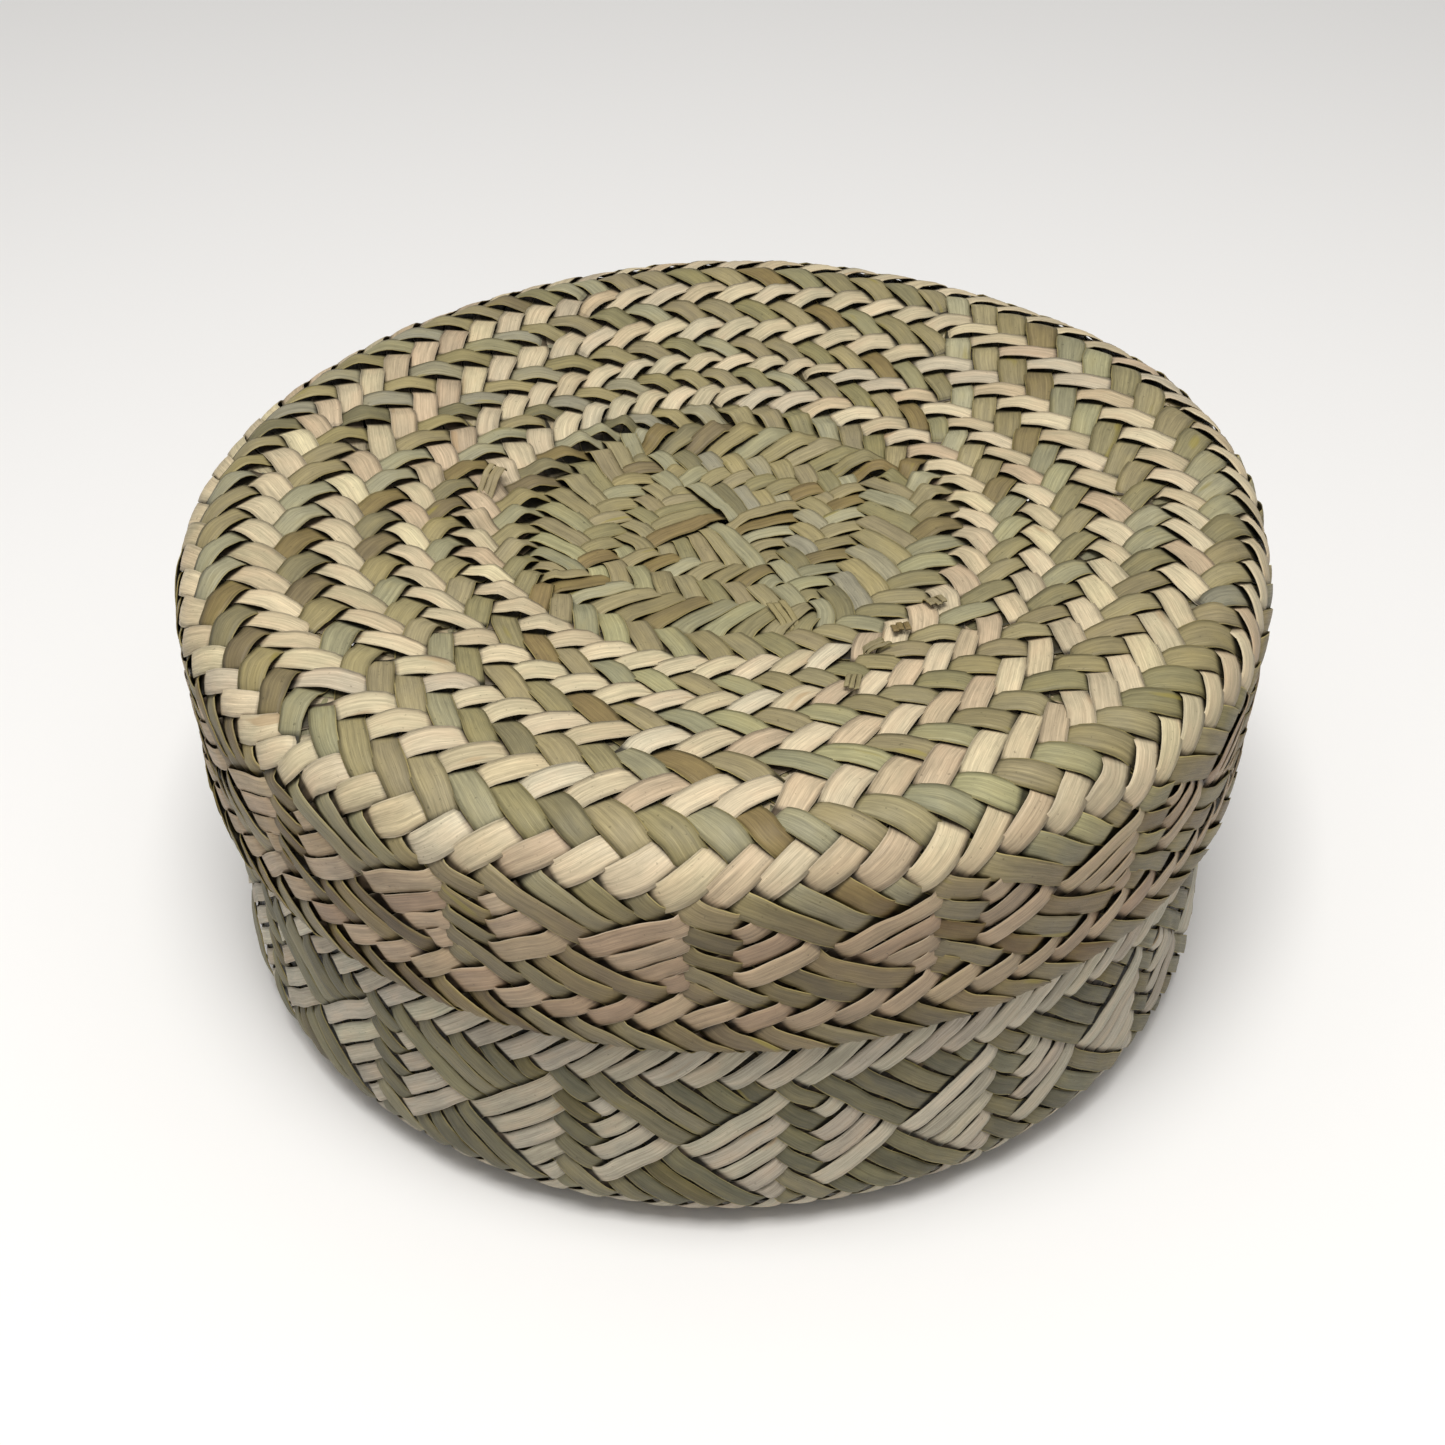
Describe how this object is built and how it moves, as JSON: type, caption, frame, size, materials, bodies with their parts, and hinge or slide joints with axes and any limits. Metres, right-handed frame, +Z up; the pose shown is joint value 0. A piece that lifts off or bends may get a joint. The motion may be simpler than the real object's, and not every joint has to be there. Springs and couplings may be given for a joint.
{
  "type": "lidded storage basket",
  "caption": "Round twill-plaited leaf basket with a rounded base and a deep slip-over lid that lifts off, cream bands and olive zigzag pattern.",
  "frame": {"origin": "on the vertical axis, at the flat underside of the base", "axes": "+Z up along the axis of the basket, -Y towards the front as pictured"},
  "size_m": [0.28, 0.28, 0.125],
  "materials": {
    "lid_centre_leaf": "matte dried leaf with fine lengthwise fibres, olive green",
    "lid_band_leaf": "matte dried leaf with fine lengthwise fibres, cream",
    "lid_side_leaf": "matte dried leaf with fine lengthwise fibres, grey olive",
    "base_floor_leaf": "matte dried leaf with fine lengthwise fibres, grey olive",
    "base_side_leaf": "matte dried leaf with fine lengthwise fibres, dark grey olive",
    "base_band_leaf": "matte dried leaf with fine lengthwise fibres, greyed cream"
  },
  "bodies": {
    "base": {"base_centre_mat": "base_floor_leaf", "base_floor_bands": "base_floor_leaf", "base_corner": "base_side_leaf", "base_wall": "base_side_leaf", "base_rim_fold": "base_side_leaf", "base_turned_ends": "base_band_leaf"},
    "lid": {"lid_centre_mat": "lid_centre_leaf", "lid_top_bands": "lid_band_leaf", "lid_shoulder": "lid_band_leaf", "lid_skirt": "lid_side_leaf", "lid_rim_fold": "lid_side_leaf", "lid_turned_ends": "lid_band_leaf"}
  },
  "joints": [
    {"name": "lid_lift", "type": "slide", "parent": "base", "child": "lid", "axis": [0, 0, 1], "range_m": [0, 0.09]}
  ]
}
